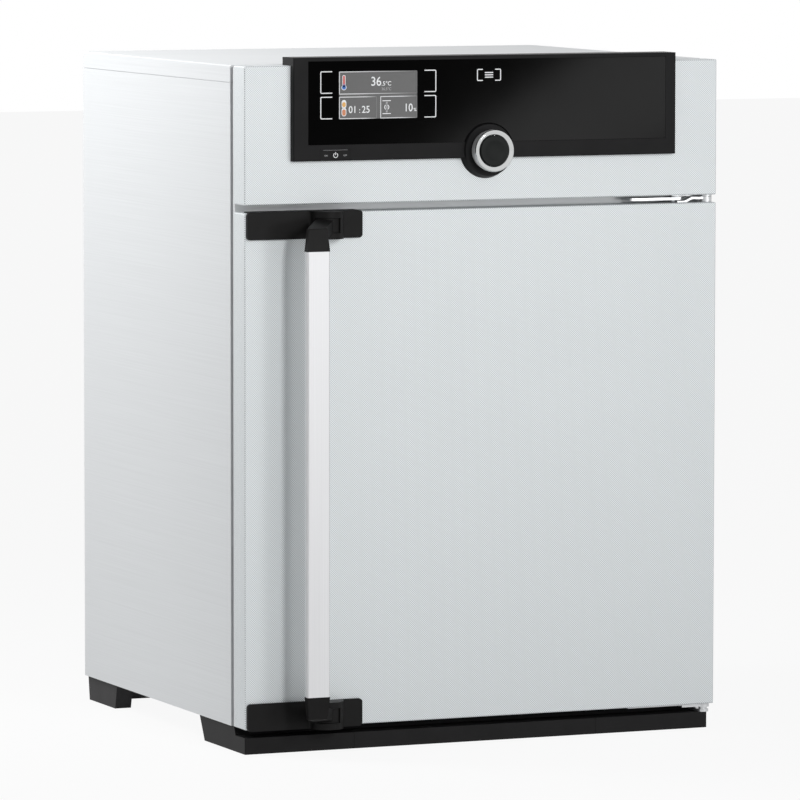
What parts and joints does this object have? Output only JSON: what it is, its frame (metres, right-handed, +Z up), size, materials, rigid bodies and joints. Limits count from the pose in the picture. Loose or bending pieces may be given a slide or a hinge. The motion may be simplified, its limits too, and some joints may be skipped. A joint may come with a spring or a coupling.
{
  "type": "laboratory incubator",
  "caption": "Bench laboratory incubator: a stainless cabinet with a side-hinged door, bar handle, inner glass door, wire shelves and a black control panel with a knob",
  "frame": {"origin": "on the floor under the middle of the whole part's bounding box, with the bar handle and the rear air stub counted", "axes": "X to the right as seen from the front, Y to the rear, Z up"},
  "size_m": [0.585, 0.586, 0.784],
  "materials": {
    "textured_stainless": "embossed fine dots",
    "stainless_sheet": "satin",
    "galvanised_sheet": "dull zinc",
    "supply_cage": "plain",
    "chamber_stainless": "bright",
    "black_plastic": "fine grain",
    "black_glass": "polished",
    "clear_glass": "clear",
    "chrome_ring": "polished",
    "button_black": "smooth",
    "silver_bar": "satin anodised",
    "hinge_steel": "satin",
    "silicone_seal": "soft",
    "mineral_wool": "fibrous",
    "green_board": "lacquered",
    "duct_steel": "satin"
  },
  "bodies": {
    "housing": {"base_pan": "galvanised_sheet", "left_side_panel": "stainless_sheet", "right_side_panel": "stainless_sheet", "top_cover": "stainless_sheet", "rear_panel": "galvanised_sheet", "rear_panel_screws": "hinge_steel", "front_frame": "stainless_sheet", "control_fascia": "textured_stainless", "cockpit_bezel": "black_plastic", "cockpit_glass": "black_glass", "display_module": "black_plastic", "control_board": "green_board", "rotary_encoder": "black_plastic", "electronics_tray": "galvanised_sheet", "power_supply": "supply_cage", "chamber_liner": "chamber_stainless", "heater_panels": "silicone_seal", "insulation": "mineral_wool", "chamber_gasket": "silicone_seal", "temperature_probe": "chamber_stainless", "vent_duct": "duct_steel", "flap_motor": "black_plastic", "mains_inlet": "black_plastic", "mains_inlet_pins": "hinge_steel", "network_socket": "black_plastic", "front_left_foot": "black_plastic", "front_plinth_strip": "black_plastic", "front_right_foot": "black_plastic", "rear_left_foot": "black_plastic", "rear_right_foot": "black_plastic", "upper_hinge_leaf": "hinge_steel", "lower_hinge_arm": "hinge_steel", "door_hinge_pins": "hinge_steel", "glass_hinge_lugs": "hinge_steel", "glass_hinge_pins": "hinge_steel", "glass_catch_magnet": "hinge_steel"},
    "door": {"door_skin": "textured_stainless", "door_inner_panel": "chamber_stainless", "door_insulation": "mineral_wool", "door_gasket": "silicone_seal", "door_upper_leaf": "hinge_steel", "door_lower_leaf": "hinge_steel", "door_hinge_bushes": "black_plastic", "upper_handle_bracket": "black_plastic", "lower_handle_bracket": "black_plastic"},
    "handle": {"handle_bar": "silver_bar", "upper_handle_arm": "black_plastic", "lower_handle_arm": "black_plastic", "handle_pivot_pins": "hinge_steel", "latch_levers": "hinge_steel"},
    "glass_door": {"glass_pane": "clear_glass", "glass_hinge_clamps": "hinge_steel", "glass_door_knob": "black_plastic"},
    "lower_shelf_tray": {"lower_shelf": "chamber_stainless"},
    "upper_shelf_tray": {"upper_shelf": "chamber_stainless"},
    "knob": {"knob_ring": "chrome_ring", "encoder_shaft": "hinge_steel"},
    "button": {"knob_button": "button_black"},
    "key": {"power_key": "black_plastic"},
    "flap": {"air_flap": "duct_steel"}
  },
  "joints": [
    {"name": "door_swing", "type": "hinge", "parent": "housing", "child": "door", "pos_m": [0.285, -0.224, 0.32], "axis": [0, 0, 1], "range_deg": [0, 170]},
    {"name": "handle_swing", "type": "hinge", "parent": "door", "child": "handle", "pos_m": [-0.1955, -0.243, 0.32], "axis": [0, 0, 1], "range_deg": [0, 25], "stiffness_Nm_per_rad": 2, "springref_deg": -17.19},
    {"name": "glass_door_swing", "type": "hinge", "parent": "housing", "child": "glass_door", "pos_m": [0.225, -0.193, 0.32], "axis": [0, 0, 1], "range_deg": [0, 106]},
    {"name": "upper_shelf_slide", "type": "slide", "parent": "housing", "child": "upper_shelf_tray", "axis": [0, -1, 0], "range_m": [0, 0.12]},
    {"name": "lower_shelf_slide", "type": "slide", "parent": "housing", "child": "lower_shelf_tray", "axis": [0, -1, 0], "range_m": [0, 0.09]},
    {"name": "knob_turn", "type": "hinge", "parent": "housing", "child": "knob", "pos_m": [0.0018, -0.2555, 0.6766], "axis": [0, 1, 0], "continuous": true},
    {"name": "button_press", "type": "slide", "parent": "knob", "child": "button", "axis": [0, 1, 0], "range_m": [0, 0.0015], "stiffness_N_per_m": 400, "springref_m": -0.004},
    {"name": "power_key_press", "type": "slide", "parent": "housing", "child": "key", "axis": [0, 1, 0], "range_m": [0, 0.0008], "stiffness_N_per_m": 500, "springref_m": -0.003},
    {"name": "flap_turn", "type": "hinge", "parent": "housing", "child": "flap", "pos_m": [0.13, 0.25, 0.46985], "axis": [1, 0, 0], "range_deg": [0, 90]}
  ],
  "couplings": [
    {"joint": "glass_door_swing", "follows": "door_swing", "ratio": 0.62},
    {"joint": "upper_shelf_slide", "follows": "door_swing", "m_per_rad": 0.0401},
    {"joint": "lower_shelf_slide", "follows": "door_swing", "m_per_rad": 0.02865}
  ]
}
